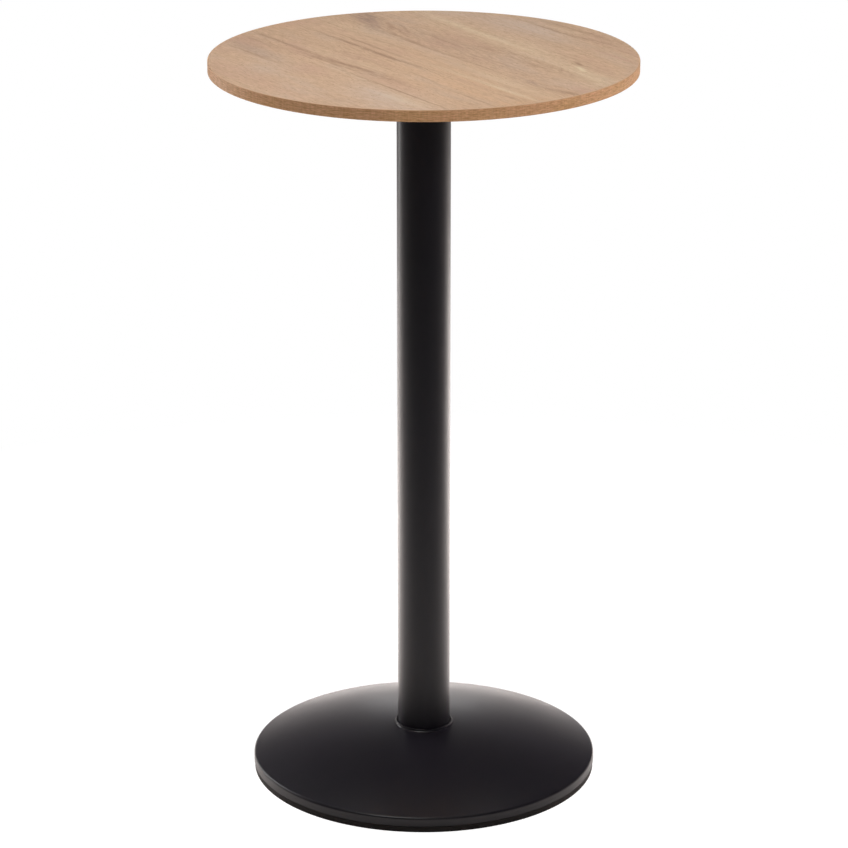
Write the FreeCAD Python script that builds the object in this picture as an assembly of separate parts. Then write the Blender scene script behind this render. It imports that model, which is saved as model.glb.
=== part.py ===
import FreeCAD
import Part
import math
import os

# Round bar table on one column, in millimetres.
# Origin on the floor under the middle of the table, +Z up.
# A tie rod runs through the column. It pulls the plate under the top down onto the tube,
# and the tube down into the socket of the cast ballast plate.
# The drawn steel cover lies over the ballast plate, and a floor ring clips round the
# plate's edge. Four levelling feet screw into bosses of the ballast plate.

# Driving dimensions
TABLE_HEIGHT = 1063.0
TOP_DIAMETER = 600.0
COLUMN_DIAMETER = 76.0
BASE_DIAMETER = 500.0

# Table top
TOP_THICKNESS = 16.0
LAMINATE = 0.8
EDGE_BAND = 2.0
EDGE_ROUND = 0.8

# Plate under the top and its wood screws
PLATE_SIDE = 240.0
PLATE_THICKNESS = 4.0
PLATE_CORNER = 14.0
SCREW_EDGE_MARGIN = 15.0
SCREW_DIAMETER = 4.5
SCREW_CLEARANCE = 0.5
SCREW_DEPTH = 11.0
SCREW_HEAD_DIAMETER = 9.0
SCREW_HEAD_HEIGHT = 3.0
CROSS_SLOT_WIDTH = 1.0
CROSS_SLOT_LENGTH = 5.0
CROSS_SLOT_DEPTH = 1.6

# Column tube and the ring that centres its upper end
COLUMN_WALL = 2.0
SPIGOT_WALL = 3.0
SPIGOT_HEIGHT = 22.0
TUBE_FIT = 0.2

# Tie rod, its nuts and washers
ROD_DIAMETER = 12.0
ROD_CLEARANCE = 0.5
THREAD_FIT = 0.05
ROD_NUT_FLATS = 19.0
ROD_NUT_HEIGHT = 10.0
ROD_END = 1.5
ROD_TOP_SETBACK = 0.5
CLAMP_WASHER_DIAMETER = 40.0
CLAMP_WASHER_THICKNESS = 4.0
SPRING_WASHER_WIDTH = 4.2
SPRING_WASHER_THICKNESS = 3.0
SPRING_WASHER_SPLIT = 2.0

# Floor ring
RING_INSET = 0.8
RING_HEIGHT = 8.0
RING_FLOOR = 3.5
RING_LIP_WIDTH = 17.0
RING_CHAMFER = 0.6
RING_BEAD_HEIGHT = 2.0
RING_BEAD_DEPTH = 1.6
RING_FIT = 0.2

# Base cover, a drawn steel dome with a skirt and a raised neck
COVER_SHEET = 1.5
RIM_HEIGHT = 22.0
DOME_RISE = 42.9
RIM_BEND = 2.5
SKIRT_GAP = 1.2
NECK_GAP = 1.5
NECK_BEND = 3.2
NECK_STRAIGHT = 0.3
SEAT_GAP = 0.3

# Rubber gasket between the column and the cover's neck
GASKET_HEIGHT = 4.0

# Ballast plate
BALLAST_GAP = 2.3
BALLAST_PLATE = 9.0
RIB_WIDTH = 12.0
RIB_CHAMFER = 3.0
HUB_WALL = 9.0
HUB_FLARE = 13.0
SOCKET_DEPTH = 14.0
NUT_RECESS_RADIUS = 32.0
NUT_RECESS_DEPTH = 20.0

# Studs that hold the cover down, with their nuts and washers
COVER_STUD_COUNT = 3
COVER_STUD_PITCH_RADIUS = 150.0
COVER_STUD_ANGLE = 90.0
COVER_STUD_DIAMETER = 5.0
COVER_STUD_CLEARANCE = 0.5
COVER_STUD_END = 1.0
COVER_STUD_GAP = 0.1
COVER_NUT_FLATS = 8.0
COVER_NUT_HEIGHT = 4.0
COVER_WASHER_DIAMETER = 12.0
COVER_WASHER_THICKNESS = 1.0
COVER_NUT_ROOM = 1.0
COUNTERBORE_ROOM = 2.0

# Levelling feet
FOOT_COUNT = 4
FOOT_ANGLE = 45.0
POCKET_TO_RING = 14.2
FOOT_BOSS_RADIUS = 24.0
FOOT_STUD_DIAMETER = 8.0
FOOT_STUD_SETBACK = 1.5
FOOT_HEX_FLATS = 13.0
FOOT_HEX_HEIGHT = 5.0
FOOT_PAD_RADIUS = 15.0
FOOT_PAD_HEIGHT = 6.0
FOOT_PAD_CHAMFER = 1.5
FOOT_PAD_GAP = 0.3
FOOT_NECK_DIAMETER = 9.0
FOOT_HEAD_DIAMETER = 12.0
FOOT_HEAD_HEIGHT = 1.5
FOOT_HEAD_DEPTH = 3.0
HEAD_FIT = 0.08
POCKET_ROOM = 3.0
POCKET_HEADROOM = 0.5

# Length by which a cutter passes the face that it cuts
OVERRUN = 1.0

# Heights and radii worked out from the sizes above
UNDERSIDE_Z = TABLE_HEIGHT - TOP_THICKNESS
PLATE_Z = UNDERSIDE_Z - PLATE_THICKNESS
TOP_RADIUS = TOP_DIAMETER / 2
BOARD_RADIUS = TOP_RADIUS - EDGE_BAND
COLUMN_RADIUS = COLUMN_DIAMETER / 2
COLUMN_INNER_RADIUS = COLUMN_RADIUS - COLUMN_WALL
ROD_RADIUS = ROD_DIAMETER / 2
ROD_HOLE_RADIUS = ROD_RADIUS + ROD_CLEARANCE
BASE_RADIUS = BASE_DIAMETER / 2

SKIRT_INNER_RADIUS = BASE_RADIUS - COVER_SHEET
SKIRT_Z = RING_HEIGHT + SKIRT_GAP
RIM_BEND_OUTER = RIM_BEND + COVER_SHEET
NECK_BEND_UNDER = NECK_BEND + COVER_SHEET
NECK_INNER_RADIUS = COLUMN_RADIUS + NECK_GAP
NECK_OUTER_RADIUS = NECK_INNER_RADIUS + COVER_SHEET

CROWN_Z = RIM_HEIGHT + DOME_RISE
DOME_RADIUS = (BASE_RADIUS ** 2 + DOME_RISE ** 2) / (2 * DOME_RISE)
DOME_CENTRE_Z = CROWN_Z - DOME_RADIUS

BALLAST_RADIUS = SKIRT_INNER_RADIUS - BALLAST_GAP
BALLAST_TOP_Z = RING_FLOOR + BALLAST_PLATE
SOCKET_RADIUS = COLUMN_RADIUS + TUBE_FIT
HUB_RADIUS = SOCKET_RADIUS + HUB_WALL

RING_RADIUS = BASE_RADIUS - RING_INSET
RING_INNER_RADIUS = RING_RADIUS - RING_LIP_WIDTH
POCKET_RADIUS = FOOT_PAD_RADIUS + POCKET_ROOM
FOOT_PITCH_RADIUS = RING_INNER_RADIUS - POCKET_TO_RING - POCKET_RADIUS


def sphere_z(radius, distance):
    """Height at a distance from the axis, on a sphere about the dome's centre."""
    return DOME_CENTRE_Z + math.sqrt(radius ** 2 - distance ** 2)


def under_cover_z(distance):
    """Height of the underside of the cover, less the gap that seats it."""
    return sphere_z(DOME_RADIUS - COVER_SHEET, distance) - SEAT_GAP


HUB_TOP_Z = under_cover_z(HUB_RADIUS)
SOCKET_Z = HUB_TOP_Z - SOCKET_DEPTH
RECESS_Z = RING_FLOOR + NUT_RECESS_DEPTH
FOOT_HEX_Z = FOOT_PAD_HEIGHT + FOOT_PAD_GAP
POCKET_Z = FOOT_HEX_Z + FOOT_HEX_HEIGHT + POCKET_HEADROOM
BOSS_TOP_Z = under_cover_z(FOOT_PITCH_RADIUS + FOOT_BOSS_RADIUS)
COVER_WASHER_Z = RING_FLOOR + COVER_NUT_ROOM + COVER_NUT_HEIGHT + COVER_STUD_END
COUNTERBORE_Z = COVER_WASHER_Z + COVER_WASHER_THICKNESS


def point(x, z, y=0):
    return FreeCAD.Vector(x, y, z)


def line(start, end):
    return Part.LineSegment(start, end).toShape()


def arc(start, middle, end):
    return Part.Arc(start, middle, end).toShape()


def spin(edges):
    """Turn a closed outline in the XZ plane round the Z axis into a solid."""
    face = Part.Face(Part.Wire(edges))
    solid = face.revolve(FreeCAD.Vector(), FreeCAD.Vector(0, 0, 1), 360)
    return Part.makeSolid(solid) if solid.ShapeType == "Shell" else solid


def spin_outline(corners):
    """Turn a straight-sided outline of (radius, height) corners round the Z axis."""
    points = [point(radius, z) for radius, z in corners]
    return spin([line(a, b) for a, b in zip(points, points[1:] + points[:1])])


def disc(radius, low, high, x=0, y=0):
    return Part.makeCylinder(radius, high - low, FreeCAD.Vector(x, y, low))


def ring(outer, inner, low, high, x=0, y=0):
    hole = disc(inner, low - OVERRUN, high + OVERRUN, x, y)
    return disc(outer, low, high, x, y).cut(hole)


def hexagon(flats, low, high, x=0, y=0):
    """Hexagonal prism, sized across its flats."""
    corner = flats / math.sqrt(3)
    angles = [math.radians(60 * side) for side in range(6)]
    points = [point(x + corner * math.cos(a), low, y + corner * math.sin(a)) for a in angles]
    wire = Part.makePolygon(points + points[:1])
    return Part.Face(wire).extrude(FreeCAD.Vector(0, 0, high - low))


def circle_places(count, radius, first_angle):
    """Points evenly spaced on a circle about the table's axis."""
    angles = [math.radians(first_angle + 360 / count * i) for i in range(count)]
    return [(radius * math.cos(a), radius * math.sin(a)) for a in angles]


FOOT_PLACES = circle_places(FOOT_COUNT, FOOT_PITCH_RADIUS, FOOT_ANGLE)
STUD_PLACES = circle_places(COVER_STUD_COUNT, COVER_STUD_PITCH_RADIUS, COVER_STUD_ANGLE)
SCREW_REACH = PLATE_SIDE / 2 - SCREW_EDGE_MARGIN
SCREW_PLACES = [
    (SCREW_REACH * i, SCREW_REACH * j)
    for i in (-1, 0, 1)
    for j in (-1, 0, 1)
    if (i, j) != (0, 0)
]


def save(name, shape):
    shape.exportStep(f"parts/{name}.step")
    volume = sum(solid.Volume for solid in shape.Solids)
    print(f"{name}: {len(shape.Solids)} solid(s), {volume / 1000:.2f} cm3, valid {shape.isValid()}")


def group(solids):
    return Part.makeCompound([solid for shape in solids for solid in shape.Solids])


# Table top

def core_board():
    """Chipboard disc between the two laminates, with the screws' pilot holes."""
    board = disc(BOARD_RADIUS, UNDERSIDE_Z + LAMINATE, TABLE_HEIGHT - LAMINATE)
    tip_z = UNDERSIDE_Z + SCREW_DEPTH
    for x, y in SCREW_PLACES:
        board = board.cut(disc(SCREW_DIAMETER / 2, UNDERSIDE_Z, tip_z, x, y))
    return board


def top_laminate():
    return disc(BOARD_RADIUS, TABLE_HEIGHT - LAMINATE, TABLE_HEIGHT)


def underside_laminate():
    sheet = disc(BOARD_RADIUS, UNDERSIDE_Z, UNDERSIDE_Z + LAMINATE)
    hole_radius = SCREW_DIAMETER / 2 + SCREW_CLEARANCE
    for x, y in SCREW_PLACES:
        sheet = sheet.cut(disc(hole_radius, UNDERSIDE_Z - OVERRUN, TABLE_HEIGHT, x, y))
    return sheet


def edge_band():
    """Band round the board, with its two outer corners rounded over."""
    low, high = UNDERSIDE_Z, TABLE_HEIGHT
    inner, outer = BOARD_RADIUS, TOP_RADIUS
    shoulder = outer - EDGE_ROUND
    bulge = EDGE_ROUND * math.sqrt(0.5)
    top_middle = point(shoulder + bulge, high - EDGE_ROUND + bulge)
    low_middle = point(shoulder + bulge, low + EDGE_ROUND - bulge)
    return spin([
        line(point(inner, low), point(inner, high)),
        line(point(inner, high), point(shoulder, high)),
        arc(point(shoulder, high), top_middle, point(outer, high - EDGE_ROUND)),
        line(point(outer, high - EDGE_ROUND), point(outer, low + EDGE_ROUND)),
        arc(point(outer, low + EDGE_ROUND), low_middle, point(shoulder, low)),
        line(point(shoulder, low), point(inner, low)),
    ])


# Plate under the top

def top_plate():
    """Square steel plate with rounded corners, a rod hole and the screw holes."""
    corner = FreeCAD.Vector(-PLATE_SIDE / 2, -PLATE_SIDE / 2, PLATE_Z)
    plate = Part.makeBox(PLATE_SIDE, PLATE_SIDE, PLATE_THICKNESS, corner)
    upright = [e for e in plate.Edges if abs(e.Vertexes[0].Z - e.Vertexes[1].Z) > PLATE_THICKNESS / 2]
    plate = plate.makeFillet(PLATE_CORNER, upright)
    low, high = PLATE_Z - OVERRUN, UNDERSIDE_Z + OVERRUN
    plate = plate.cut(disc(ROD_HOLE_RADIUS, low, high))
    for x, y in SCREW_PLACES:
        plate = plate.cut(disc(SCREW_DIAMETER / 2 + SCREW_CLEARANCE, low, high, x, y))
    return plate


def wood_screw(x, y):
    """Pan-head wood screw, driven upwards, with a cross slot in its head."""
    head_z = PLATE_Z - SCREW_HEAD_HEIGHT
    head = disc(SCREW_HEAD_DIAMETER / 2, head_z, PLATE_Z, x, y)
    shank = disc(SCREW_DIAMETER / 2, PLATE_Z, UNDERSIDE_Z + SCREW_DEPTH, x, y)
    screw = head.fuse(shank).removeSplitter()
    sides = [(CROSS_SLOT_LENGTH, CROSS_SLOT_WIDTH), (CROSS_SLOT_WIDTH, CROSS_SLOT_LENGTH)]
    for wide, deep in sides:
        corner = FreeCAD.Vector(x - wide / 2, y - deep / 2, head_z - OVERRUN)
        screw = screw.cut(Part.makeBox(wide, deep, CROSS_SLOT_DEPTH + OVERRUN, corner))
    return screw


def top_plate_screws():
    return group([wood_screw(x, y) for x, y in SCREW_PLACES])


def head_spigot():
    """Short ring welded under the plate, which centres the tube's upper end."""
    outer = COLUMN_INNER_RADIUS - TUBE_FIT
    return ring(outer, outer - SPIGOT_WALL, PLATE_Z - SPIGOT_HEIGHT, PLATE_Z)


def rod_weld_nut():
    """Nut welded under the middle of the plate, which takes the rod's upper end."""
    nut = hexagon(ROD_NUT_FLATS, PLATE_Z - ROD_NUT_HEIGHT, PLATE_Z)
    hole = disc(ROD_RADIUS + THREAD_FIT, PLATE_Z - ROD_NUT_HEIGHT - OVERRUN, UNDERSIDE_Z)
    return nut.cut(hole)


# Column and tie rod

def column_tube():
    return ring(COLUMN_RADIUS, COLUMN_INNER_RADIUS, SOCKET_Z, PLATE_Z)


CLAMP_WASHER_Z = RECESS_Z - CLAMP_WASHER_THICKNESS
SPRING_WASHER_Z = CLAMP_WASHER_Z - SPRING_WASHER_THICKNESS
ROD_NUT_Z = SPRING_WASHER_Z - ROD_NUT_HEIGHT


def tie_rod():
    return disc(ROD_RADIUS, ROD_NUT_Z - ROD_END, UNDERSIDE_Z - ROD_TOP_SETBACK)


def clamp_washer():
    return ring(CLAMP_WASHER_DIAMETER / 2, ROD_HOLE_RADIUS, CLAMP_WASHER_Z, RECESS_Z)


def spring_washer():
    """Split ring between the clamp washer and the nut."""
    outer = ROD_HOLE_RADIUS + SPRING_WASHER_WIDTH
    washer = ring(outer, ROD_HOLE_RADIUS, SPRING_WASHER_Z, CLAMP_WASHER_Z)
    corner = FreeCAD.Vector(0, -SPRING_WASHER_SPLIT / 2, SPRING_WASHER_Z - OVERRUN)
    height = SPRING_WASHER_THICKNESS + 2 * OVERRUN
    return washer.cut(Part.makeBox(outer + OVERRUN, SPRING_WASHER_SPLIT, height, corner))


def rod_nut():
    nut = hexagon(ROD_NUT_FLATS, ROD_NUT_Z, SPRING_WASHER_Z)
    hole = disc(ROD_RADIUS + THREAD_FIT, ROD_NUT_Z - OVERRUN, SPRING_WASHER_Z + OVERRUN)
    return nut.cut(hole)


# Base cover

def bend_centres():
    """Centres of the rim's bend and of the neck's bend, as (radius, height)."""
    rim_radius = BASE_RADIUS - RIM_BEND_OUTER
    neck_radius = NECK_OUTER_RADIUS + NECK_BEND
    rim = (rim_radius, sphere_z(DOME_RADIUS - RIM_BEND_OUTER, rim_radius))
    neck = (neck_radius, sphere_z(DOME_RADIUS + NECK_BEND, neck_radius))
    return rim, neck


def on_sphere(radius, through):
    """Point of a sphere about the dome's centre, on the line to another point."""
    rise = through[1] - DOME_CENTRE_Z
    length = math.hypot(through[0], rise)
    return point(radius * through[0] / length, DOME_CENTRE_Z + radius * rise / length)


def bend_arc(centre, radius, start, end):
    """Arc about a bend's centre between two of its points."""
    middle = point(*centre)
    way = ((start - middle) + (end - middle)).normalize()
    return arc(start, middle + way * radius, end)


def cover_face_edges(dome, skirt, neck, rim_bend, neck_bend, neck_top):
    """One face of the sheet, from the foot of the skirt to the top of the neck."""
    rim_centre, neck_centre = bend_centres()
    skirt_low = point(skirt, SKIRT_Z)
    skirt_high = point(skirt, rim_centre[1])
    dome_low = on_sphere(dome, rim_centre)
    dome_high = on_sphere(dome, neck_centre)
    halfway = (dome_low.x + dome_high.x) / 2
    dome_middle = point(halfway, sphere_z(dome, halfway))
    neck_low = point(neck, neck_centre[1])
    return [
        line(skirt_low, skirt_high),
        bend_arc(rim_centre, rim_bend, skirt_high, dome_low),
        arc(dome_low, dome_middle, dome_high),
        bend_arc(neck_centre, neck_bend, dome_high, neck_low),
        line(neck_low, point(neck, neck_top)),
    ]


def base_cover():
    """Domed sheet with a rolled rim, a straight skirt and a neck round the column."""
    neck_top = bend_centres()[1][1] + NECK_STRAIGHT
    outer = cover_face_edges(
        DOME_RADIUS, BASE_RADIUS, NECK_OUTER_RADIUS, RIM_BEND_OUTER, NECK_BEND, neck_top)
    inner = cover_face_edges(
        DOME_RADIUS - COVER_SHEET, SKIRT_INNER_RADIUS, NECK_INNER_RADIUS,
        RIM_BEND, NECK_BEND_UNDER, neck_top)
    lip_middle = point(NECK_INNER_RADIUS + COVER_SHEET / 2, neck_top + COVER_SHEET / 2)
    lip = arc(point(NECK_OUTER_RADIUS, neck_top), lip_middle, point(NECK_INNER_RADIUS, neck_top))
    foot = line(point(SKIRT_INNER_RADIUS, SKIRT_Z), point(BASE_RADIUS, SKIRT_Z))
    return spin(outer + [lip] + inner[::-1] + [foot])


def neck_gasket():
    return ring(NECK_INNER_RADIUS, COLUMN_RADIUS, HUB_TOP_Z, HUB_TOP_Z + GASKET_HEIGHT)


# Studs welded inside the cover, which pass through the ballast plate

def cover_studs():
    """Three studs, their upper ends shaped to the underside of the cover."""
    studs = []
    radius = DOME_RADIUS - COVER_SHEET - COVER_STUD_GAP
    inside = Part.makeSphere(radius, point(0, DOME_CENTRE_Z))
    for x, y in STUD_PLACES:
        stud = disc(COVER_STUD_DIAMETER / 2, RING_FLOOR + COVER_NUT_ROOM, CROWN_Z, x, y)
        studs.append(stud.common(inside))
    return group(studs)


def cover_washers():
    hole = COVER_STUD_DIAMETER / 2 + COVER_STUD_CLEARANCE
    outer = COVER_WASHER_DIAMETER / 2
    return group([
        ring(outer, hole, COVER_WASHER_Z, COUNTERBORE_Z, x, y) for x, y in STUD_PLACES])


def cover_nuts():
    nuts = []
    low = COVER_WASHER_Z - COVER_NUT_HEIGHT
    for x, y in STUD_PLACES:
        nut = hexagon(COVER_NUT_FLATS, low, COVER_WASHER_Z, x, y)
        hole = disc(COVER_STUD_DIAMETER / 2 + THREAD_FIT, low - OVERRUN, COUNTERBORE_Z, x, y)
        nuts.append(nut.cut(hole))
    return group(nuts)


# Ballast plate

def ballast_body():
    """Plate, edge rib and hub, turned as one outline."""
    rib_inner = BALLAST_RADIUS - RIB_WIDTH
    rib_shoulder = BALLAST_RADIUS - RIB_CHAMFER
    rib_top = under_cover_z(rib_shoulder)
    groove = BALLAST_RADIUS - RING_BEAD_DEPTH
    groove_low = RING_HEIGHT - RING_BEAD_HEIGHT - RING_FIT
    groove_high = RING_HEIGHT + RING_FIT
    return spin_outline([
        (ROD_HOLE_RADIUS, RECESS_Z),
        (NUT_RECESS_RADIUS, RECESS_Z),
        (NUT_RECESS_RADIUS, RING_FLOOR),
        (BALLAST_RADIUS, RING_FLOOR),
        (BALLAST_RADIUS, groove_low),
        (groove, groove_low),
        (groove, groove_high),
        (BALLAST_RADIUS, groove_high),
        (BALLAST_RADIUS, rib_top - RIB_CHAMFER),
        (rib_shoulder, rib_top),
        (rib_inner, rib_top),
        (rib_inner - RIB_CHAMFER, BALLAST_TOP_Z),
        (HUB_RADIUS + HUB_FLARE, BALLAST_TOP_Z),
        (HUB_RADIUS, HUB_TOP_Z - SOCKET_DEPTH),
        (HUB_RADIUS, HUB_TOP_Z),
        (SOCKET_RADIUS, HUB_TOP_Z),
        (SOCKET_RADIUS, SOCKET_Z),
        (ROD_HOLE_RADIUS, SOCKET_Z),
    ])


def ballast_plate():
    """Cast plate with a socket for the column, foot bosses and stud holes."""
    body = ballast_body()
    for x, y in FOOT_PLACES:
        body = body.fuse(disc(FOOT_BOSS_RADIUS, RING_FLOOR, BOSS_TOP_Z, x, y))
    for x, y in FOOT_PLACES:
        body = body.cut(disc(POCKET_RADIUS, RING_FLOOR - OVERRUN, POCKET_Z, x, y))
        thread = FOOT_STUD_DIAMETER / 2 + THREAD_FIT
        body = body.cut(disc(thread, RING_FLOOR, BOSS_TOP_Z + OVERRUN, x, y))
    for x, y in STUD_PLACES:
        hole = COVER_STUD_DIAMETER / 2 + COVER_STUD_CLEARANCE
        body = body.cut(disc(hole, RING_FLOOR, BALLAST_TOP_Z + OVERRUN, x, y))
        counterbore = COVER_WASHER_DIAMETER / 2 + COUNTERBORE_ROOM
        body = body.cut(disc(counterbore, RING_FLOOR - OVERRUN, COUNTERBORE_Z, x, y))
    return body.removeSplitter()


def floor_ring():
    """Ring that clips round the plate's edge with a bead and meets the floor."""
    wall = BALLAST_RADIUS + RING_FIT
    bead = BALLAST_RADIUS - RING_BEAD_DEPTH + RING_FIT
    bead_z = RING_HEIGHT - RING_BEAD_HEIGHT
    return spin_outline([
        (RING_INNER_RADIUS, 0),
        (RING_RADIUS - RING_CHAMFER, 0),
        (RING_RADIUS, RING_CHAMFER),
        (RING_RADIUS, RING_HEIGHT),
        (bead, RING_HEIGHT),
        (bead, bead_z),
        (wall, bead_z),
        (wall, RING_FLOOR),
        (RING_INNER_RADIUS, RING_FLOOR),
    ])


# Levelling feet

def foot_stud(x, y):
    """Threaded stud with a hexagon for the spanner and a round head that turns in the pad."""
    head_z = FOOT_PAD_HEIGHT - FOOT_HEAD_DEPTH
    head = disc(FOOT_HEAD_DIAMETER / 2, head_z, head_z + FOOT_HEAD_HEIGHT, x, y)
    neck = disc(FOOT_NECK_DIAMETER / 2, head_z, FOOT_HEX_Z, x, y)
    spanner = hexagon(FOOT_HEX_FLATS, FOOT_HEX_Z, FOOT_HEX_Z + FOOT_HEX_HEIGHT, x, y)
    shank = disc(
        FOOT_STUD_DIAMETER / 2, FOOT_HEX_Z + FOOT_HEX_HEIGHT, BOSS_TOP_Z - FOOT_STUD_SETBACK, x, y)
    return head.fuse(neck).fuse(spanner).fuse(shank).removeSplitter()


def foot_pad(x, y):
    """Plastic pad with a socket that snaps over the stud's head and lets it turn."""
    mouth = FOOT_NECK_DIAMETER / 2 + HEAD_FIT
    socket = FOOT_HEAD_DIAMETER / 2 + HEAD_FIT
    socket_z = FOOT_PAD_HEIGHT - FOOT_HEAD_DEPTH - FOOT_PAD_GAP
    lip_z = socket_z + FOOT_HEAD_HEIGHT + 2 * FOOT_PAD_GAP
    pad = spin_outline([
        (0, 0),
        (FOOT_PAD_RADIUS - FOOT_PAD_CHAMFER, 0),
        (FOOT_PAD_RADIUS, FOOT_PAD_CHAMFER),
        (FOOT_PAD_RADIUS, FOOT_PAD_HEIGHT - FOOT_PAD_CHAMFER),
        (FOOT_PAD_RADIUS - FOOT_PAD_CHAMFER, FOOT_PAD_HEIGHT),
        (mouth, FOOT_PAD_HEIGHT),
        (mouth, lip_z),
        (socket, lip_z),
        (socket, socket_z),
        (0, socket_z),
    ])
    pad.translate(FreeCAD.Vector(x, y, 0))
    return pad


def main():
    os.makedirs("parts", exist_ok=True)
    save("core_board", core_board())
    save("top_laminate", top_laminate())
    save("underside_laminate", underside_laminate())
    save("edge_band", edge_band())
    save("top_plate", top_plate())
    save("top_plate_screws", top_plate_screws())
    save("head_spigot", head_spigot())
    save("rod_weld_nut", rod_weld_nut())
    save("column_tube", column_tube())
    save("tie_rod", tie_rod())
    save("clamp_washer", clamp_washer())
    save("spring_washer", spring_washer())
    save("rod_nut", rod_nut())
    save("base_cover", base_cover())
    save("neck_gasket", neck_gasket())
    save("cover_studs", cover_studs())
    save("cover_washers", cover_washers())
    save("cover_nuts", cover_nuts())
    save("ballast_plate", ballast_plate())
    save("floor_ring", floor_ring())
    for number, (x, y) in enumerate(FOOT_PLACES, start=1):
        save(f"foot_stud_{number}", foot_stud(x, y))
        save(f"foot_pad_{number}", foot_pad(x, y))
    print(f"underside {UNDERSIDE_Z:.2f}, plate {PLATE_Z:.2f}, neck {bend_centres()[1][1]:.2f}")
    print(f"hub top {HUB_TOP_Z:.2f}, socket {SOCKET_Z:.2f}, boss top {BOSS_TOP_Z:.2f}")


main()
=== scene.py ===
# %% [markdown]
# # A round bar table
#
# The table has an oak-effect disc top, a black steel column and a low domed black base.
# The pieces and their sizes come from the packed model, which is loaded here as a fixed frame.
# This script gives every piece its finish, adds the threads, nuts and screw heads that show from
# below, and sets up the floor, the lamps and the camera.

# %% Load the frame
import math

import bmesh
import bpy
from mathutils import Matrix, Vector


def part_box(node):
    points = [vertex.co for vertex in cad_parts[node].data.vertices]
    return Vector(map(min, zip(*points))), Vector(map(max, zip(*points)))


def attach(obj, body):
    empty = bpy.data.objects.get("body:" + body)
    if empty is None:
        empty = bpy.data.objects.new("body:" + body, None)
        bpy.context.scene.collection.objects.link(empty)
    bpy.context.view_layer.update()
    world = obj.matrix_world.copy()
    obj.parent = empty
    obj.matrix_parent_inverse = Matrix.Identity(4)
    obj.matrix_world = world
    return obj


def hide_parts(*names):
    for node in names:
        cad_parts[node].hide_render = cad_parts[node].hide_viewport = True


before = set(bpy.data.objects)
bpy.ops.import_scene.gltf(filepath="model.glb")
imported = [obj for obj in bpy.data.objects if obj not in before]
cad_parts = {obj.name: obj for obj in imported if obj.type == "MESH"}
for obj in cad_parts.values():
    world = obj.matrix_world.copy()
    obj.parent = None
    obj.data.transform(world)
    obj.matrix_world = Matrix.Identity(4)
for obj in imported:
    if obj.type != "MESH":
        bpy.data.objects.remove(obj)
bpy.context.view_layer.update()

scene = bpy.context.scene

# %% [markdown]
# ## Shader maths as Python
#
# A finish is a network of nodes. Wiring it by hand hides the idea behind the plumbing, so two
# small classes do the plumbing. A Wire is one output socket, and sums written with Wires add
# Math nodes. A Finish is one material, and its add method makes any other node.

# %% Wires: sockets that can be added, multiplied and compared
class Wire:
    """One output socket of a finish, with Python's operators standing for Math nodes."""

    def __init__(self, finish, socket):
        self.finish = finish
        self.socket = socket

    def maths(self, operation, *values):
        inputs = dict(enumerate(values))
        return self.finish.add("Math", {"operation": operation}, inputs)

    def __add__(self, other):
        return self.maths("ADD", self, other)

    def __radd__(self, other):
        return self.maths("ADD", other, self)

    def __sub__(self, other):
        return self.maths("SUBTRACT", self, other)

    def __rsub__(self, other):
        return self.maths("SUBTRACT", other, self)

    def __mul__(self, other):
        return self.maths("MULTIPLY", self, other)

    def __rmul__(self, other):
        return self.maths("MULTIPLY", other, self)

    def __truediv__(self, other):
        return self.maths("DIVIDE", self, other)

    def __rtruediv__(self, other):
        return self.maths("DIVIDE", other, self)

    def __pow__(self, other):
        return self.maths("POWER", self, other)

    def __neg__(self):
        return self.maths("MULTIPLY", self, -1.0)

    def __abs__(self):
        return self.maths("ABSOLUTE", self)

    def floor(self):
        return self.maths("FLOOR", self)

    def fraction(self):
        return self.maths("FRACT", self)

    def least(self, other):
        return self.maths("MINIMUM", self, other)

    def most(self, other):
        return self.maths("MAXIMUM", self, other)

    def angle_to(self, other):
        return self.maths("ARCTAN2", self, other)

    def fade(self):
        """1 where this value is 0, falling towards 0 as it grows."""
        return self.maths("EXPONENT", -self)

    def bell(self, width):
        """1 where this value is 0, falling away to either side within about the width."""
        share = self / width
        return (share * share).fade()

    def step(self, low, high):
        """0 below low, 1 above high, and a soft slope between."""
        settings = {"interpolation_type": "SMOOTHSTEP"}
        inputs = {"Value": self, "From Min": low, "From Max": high, "To Min": 0.0, "To Max": 1.0}
        return self.finish.add("MapRange", settings, inputs)


print("a Wire's own methods:", ", ".join(name for name in vars(Wire) if name[0] != "_"))


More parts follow.
